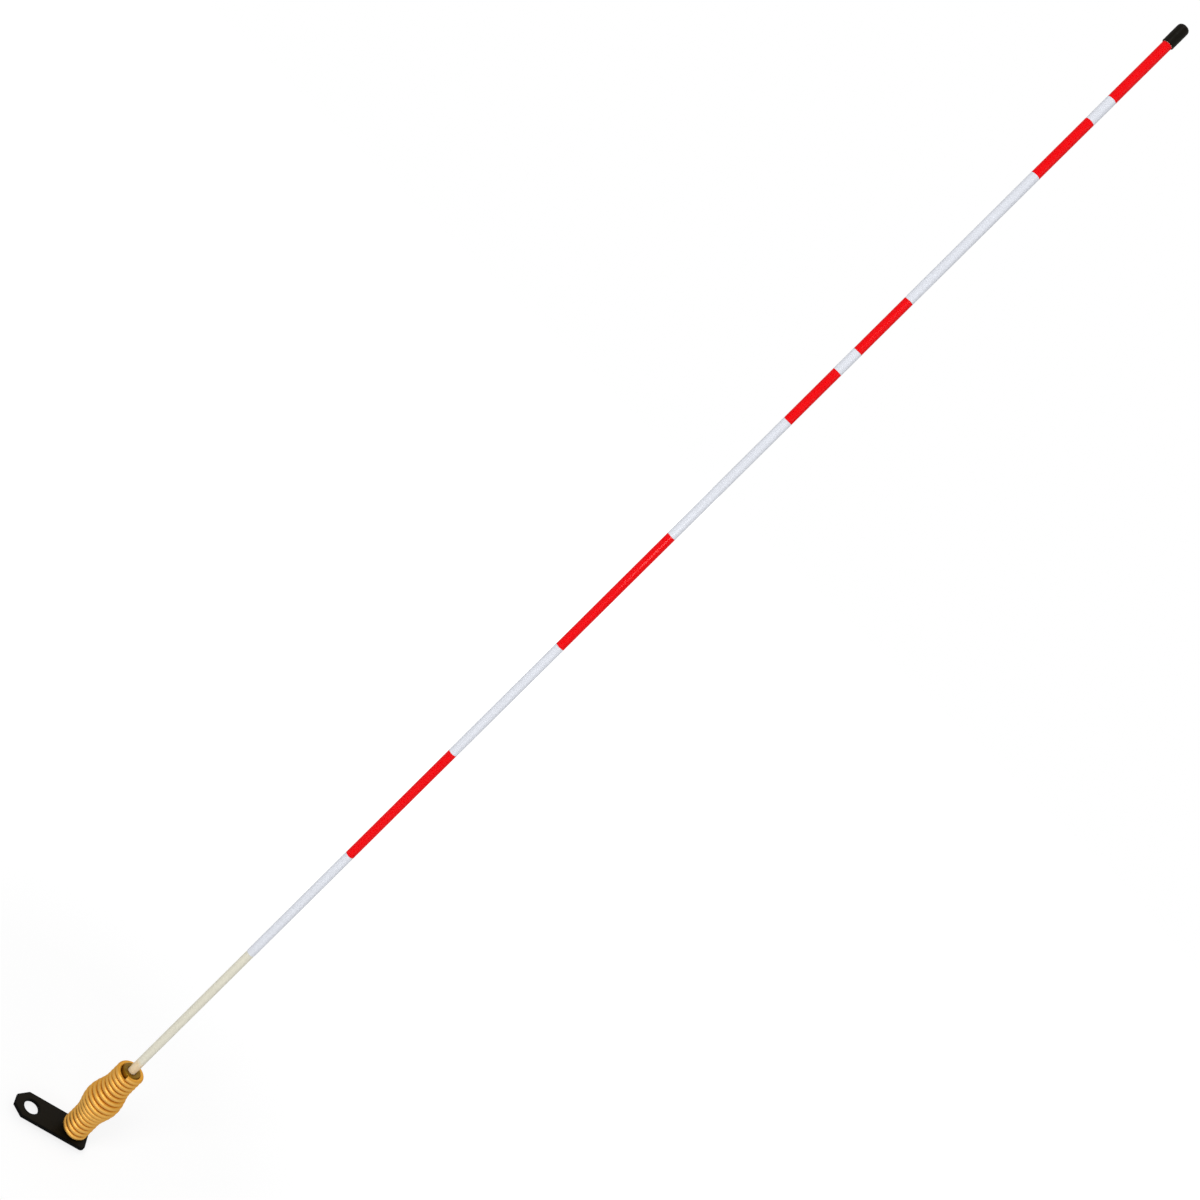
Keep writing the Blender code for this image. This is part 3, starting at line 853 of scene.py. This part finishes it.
def finish_fibreglass():
    """Cream pultruded fibreglass: long fine fibres, and a painted warm reflection of the gold spring
    at the rod's foot.
    """
    material, shader = new_material(
        "cream fibreglass", (0.70, 0.68, 0.545), 0.42, Specular_IOR_Level=0.25
    )
    tree = material.node_tree
    place = object_place(tree, MAST)
    fibres = use_group(tree, DRAWN_LINES, Place=place, Density=(2600.0, 2600.0, 22.0))["Line"]
    strands = use_group(tree, DRAWN_LINES, Place=place, Density=(700.0, 700.0, 7.0))["Line"]
    tone = use_group(tree, CLOUDINESS, Place=place, Scale=30.0, Contrast=1.2)["Tone"]
    color = mix_colors(tree, tone, (0.73, 0.70, 0.575), (0.80, 0.775, 0.645))
    color = mix_colors(tree, math_node(tree, "MULTIPLY", fibres, 0.14), color, (0.80, 0.79, 0.70))
    color = mix_colors(tree, math_node(tree, "MULTIPLY", strands, 0.10), color, (0.56, 0.52, 0.42))
    height = add_node(tree, "ShaderNodeSeparateXYZ", {0: place}).outputs["Z"]
    ragged = math_node(tree, "ADD", height, math_node(tree, "MULTIPLY", strands, 0.006))
    spring_glow = spread(tree, ragged, SPRING_GLOW_TOP, SPRING_GLOW_TOP + SPRING_GLOW_FADE, 0.8, 0.0)
    # painted reflection: a warm amber tint at the rod's foot stands in for light reflected from the
    # gold spring
    color = mix_colors(tree, spring_glow, color, (0.83, 0.63, 0.38))
    tree.links.new(color, shader.inputs["Base Color"])
    tree.links.new(spread(tree, fibres, 0.0, 1.0, 0.36, 0.50), shader.inputs["Roughness"])
    first = bump(tree, shader, fibres, 0.00001)
    bump(tree, shader, strands, 0.00003, 0.6, first)
    return material


def finish_tape(name, color, deep, pale):
    """Reflective film: glass beads under a clear face, faint draw lines and small scuffs."""
    material, shader = new_material(
        name,
        color,
        0.50,
        Specular_IOR_Level=0.0,
        Coat_Weight=0.20,
        Coat_Roughness=0.15,
        Coat_IOR=1.5,
    )
    tree = material.node_tree
    flat = tree.nodes.new("ShaderNodeUVMap").outputs["UV"]
    inputs = {"Vector": flat, "Scale": 4200.0}
    beads = add_node(tree, "ShaderNodeTexVoronoi", inputs).outputs["Distance"]
    place = object_place(tree)
    tone = use_group(tree, CLOUDINESS, Place=place, Scale=45.0, Contrast=1.4)["Tone"]
    lines = use_group(tree, DRAWN_LINES, Place=flat, Density=(900.0, 16.0, 1.0))["Line"]
    film = mix_colors(tree, tone, deep, color)
    film = mix_colors(tree, spread(tree, beads, 0.15, 0.65, 0.0, 0.10), film, deep)
    film = mix_colors(tree, math_node(tree, "MULTIPLY", lines, 0.10), film, pale)
    scuffs = use_group(tree, SPECKS, Place=flat, Scale=700.0, Share=0.03)["Speck"]
    worn = tuple(0.45 * c for c in color)
    film = mix_colors(tree, math_node(tree, "MULTIPLY", scuffs, 0.25), film, worn)
    tree.links.new(film, shader.inputs["Base Color"])
    tree.links.new(spread(tree, tone, 0.0, 1.0, 0.15, 0.25), shader.inputs["Coat Weight"])
    first = bump(tree, shader, beads, 0.00001, 0.6)
    bump(tree, shader, lines, 0.00002, 0.4, first)
    return material


def finish_vinyl():
    """Black dipped vinyl: soft sheen, faint runs down from the crown and a little dust."""
    material, shader = new_material(
        "black vinyl", (0.007, 0.0055, 0.003), 0.40, Specular_IOR_Level=0.06
    )
    tree = material.node_tree
    place = object_place(tree, Vector((MAST_X, 0, CAP_LOW.z)))
    runs = use_group(tree, DRAWN_LINES, Place=place, Density=(420.0, 420.0, 60.0))["Line"]
    tone = use_group(tree, CLOUDINESS, Place=place, Scale=150.0, Contrast=1.5)["Tone"]
    color = mix_colors(tree, tone, (0.0030, 0.0022, 0.0010), (0.0085, 0.0065, 0.0036))
    dust = use_group(tree, SPECKS, Place=place, Scale=2200.0, Share=0.05)["Speck"]
    color = mix_colors(tree, math_node(tree, "MULTIPLY", dust, 0.30), color, (0.05, 0.055, 0.065))
    tree.links.new(color, shader.inputs["Base Color"])
    tree.links.new(spread(tree, tone, 0.0, 1.0, 0.34, 0.50), shader.inputs["Roughness"])
    first = bump(tree, shader, runs, 0.00008)
    bump(tree, shader, tone, 0.00010, 0.5, first)
    return material


# ---- stage --------------------------------------------------------------------------------------


def shown_white(tree):
    """1 for rays that see plain white: from the camera, in reflections and through glass."""
    path = tree.nodes.new("ShaderNodeLightPath").outputs
    seen = math_node(tree, "MAXIMUM", path["Is Camera Ray"], path["Is Glossy Ray"])
    return math_node(tree, "MAXIMUM", seen, path["Is Transmission Ray"])


def make_world():
    world = bpy.data.worlds.new("white studio")
    world.use_nodes = True
    bpy.context.scene.world = world
    tree = world.node_tree
    background = tree.nodes["Background"]
    background.inputs["Color"].default_value = (1, 1, 1, 1)
    strength = spread(tree, shown_white(tree), 0.0, 1.0, WORLD_FILL, 1.0)
    tree.links.new(strength, background.inputs["Strength"])


def make_floor():
    """Matt floor that keeps the object's shadow and turns plain white away from it."""
    clear_selection()
    bpy.ops.mesh.primitive_plane_add(size=FLOOR_SIZE, location=(0, 0, SCREW_LOW.z - FLOOR_DROP))
    floor = name_active("studio_floor")
    material = bpy.data.materials.new("pale floor")
    material.use_nodes = True
    tree = material.node_tree
    tree.nodes.remove(tree.nodes["Principled BSDF"])
    matt = add_node(tree, "ShaderNodeBsdfDiffuse", {"Color": (0.8, 0.8, 0.8, 1)})
    glow = add_node(tree, "ShaderNodeEmission", {"Color": (1, 1, 1, 1), "Strength": FLOOR_WHITE})
    place = add_node(tree, "ShaderNodeTexCoord").outputs["Object"]
    inputs = {0: place}
    distance = add_node(tree, "ShaderNodeVectorMath", inputs, operation="LENGTH").outputs["Value"]
    glow_share = spread(tree, distance, *GLOW_REACH, FLOOR_GLOW, 1.0)
    share = math_node(tree, "MULTIPLY", shown_white(tree), glow_share)
    inputs = {0: share, 1: matt.outputs[0], 2: glow.outputs[0]}
    mixed = add_node(tree, "ShaderNodeMixShader", inputs)
    tree.links.new(mixed.outputs[0], tree.nodes["Material Output"].inputs["Surface"])
    floor.data.materials.append(material)


def add_softbox(name, azimuth, elevation, distance, width, height, level, aim_height):
    """An area light in a direction from the mast; level is what it gives a surface facing it."""
    turn, tilt = math.radians(azimuth), math.radians(elevation)
    flat = math.cos(tilt)
    away = Vector((math.cos(turn) * flat, math.sin(turn) * flat, math.sin(tilt)))
    data = bpy.data.lights.new(name, "AREA")
    data.shape = "RECTANGLE"
    data.size, data.size_y = width, height
    data.energy = level * math.pi * math.pi * distance * distance
    light = bpy.data.objects.new(name, data)
    light.location = Vector((MAST_X, 0, aim_height)) + away * distance
    light.rotation_mode = "QUATERNION"
    light.rotation_quaternion = (-away).to_track_quat("-Z", "Y")
    light.visible_camera = False
    bpy.context.scene.collection.objects.link(light)


def make_camera():
    data = bpy.data.cameras.new("photo_camera")
    data.sensor_width = CAMERA_SENSOR
    data.lens = CAMERA_LENS
    data.clip_start, data.clip_end = 0.01, 100.0
    camera = bpy.data.objects.new("photo_camera", data)
    camera.location = CAMERA_PLACE
    camera.rotation_mode = "QUATERNION"
    level = (CAMERA_AIM - CAMERA_PLACE).to_track_quat("-Z", "Y")
    camera.rotation_quaternion = level @ Quaternion((0, 0, 1), CAMERA_ROLL)
    bpy.context.scene.collection.objects.link(camera)
    bpy.context.scene.camera = camera


def light_stage():
    make_world()
    make_floor()
    for lamp in LAMPS:
        add_softbox(*lamp)


# ---- assembly -----------------------------------------------------------------------------------


def fit_piece(piece, material, body, slot, *nodes):
    """Finishes a piece and lets it ride in place of its nodes."""
    piece.data.materials.clear()
    piece.data.materials.append(material)
    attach(piece, body)
    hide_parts(*nodes)


def fit_spring(material):
    """Both halves of the wire, meeting in the belly."""
    lower = make_spring_half("coil_spring_lower_turns", 0.0, COIL_SPLIT, -1)
    upper = make_spring_half("coil_spring_upper_turns", COIL_SPLIT, COIL_TURNS, 1)
    for half in (lower, upper):
        half.data.materials.append(material)
        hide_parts("coil_spring")
    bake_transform(lower)
    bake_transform(upper)


def finish_node(node, material):
    """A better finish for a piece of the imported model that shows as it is."""
    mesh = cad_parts[node].data
    mesh.materials.clear()
    mesh.materials.append(material)


def build():
    make_camera()
    light_stage()
    silver, dark_silver = (0.62, 0.63, 0.65), (0.42, 0.43, 0.45)
    bronze, dark_bronze = (0.33, 0.18, 0.016), (0.15, 0.076, 0.006)
    bright = plate_turned_steel("bright zinc", dark_silver, silver, 0.34, 2600.0)
    dull = plate_turned_steel("dull yellow zinc", dark_bronze, bronze, 0.40, 3400.0)
    fit_piece(make_bracket(), paint_bracket(), "base", "bracket_black", "mounting_bracket")
    fit_piece(make_screw(), bright, "base", "fastener_zinc", "base_screw")
    fit_piece(make_washer(), bright, "base", "fastener_zinc", "lock_washer")
    fit_piece(make_plug(), dull, "base", "inner_steel", "lower_spring_plug")
    fit_spring(plate_wire())
    fit_piece(make_ferrule(), dull, "mast", "inner_steel", "rod_ferrule")
    finish_node("ferrule_pin", bright)
    fit_piece(make_rod(), finish_fibreglass(), "mast", "rod_fibreglass", "fibreglass_rod")
    white, deep_white, pale_white = (0.78, 0.81, 0.88), (0.73, 0.75, 0.81), (0.86, 0.87, 0.90)
    red, deep_red, pale_red = (0.92, 0.0002, 0.0035), (0.83, 0.0001, 0.002), (0.95, 0.002, 0.007)
    tapes = {
        "white": finish_tape("white tape", white, deep_white, pale_white),
        "red": finish_tape("red tape", red, deep_red, pale_red),
    }
    for node in sorted(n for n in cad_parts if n.startswith("tape_band")):
        color = node.rsplit("_", 1)[1]
        fit_piece(wrap_tape(node), tapes[color], "mast", f"tape_{color}", node)
    fit_piece(make_cap(), finish_vinyl(), "mast", "cap_vinyl", "end_cap")


build()
bpy.context.scene.view_settings.view_transform = "Standard"
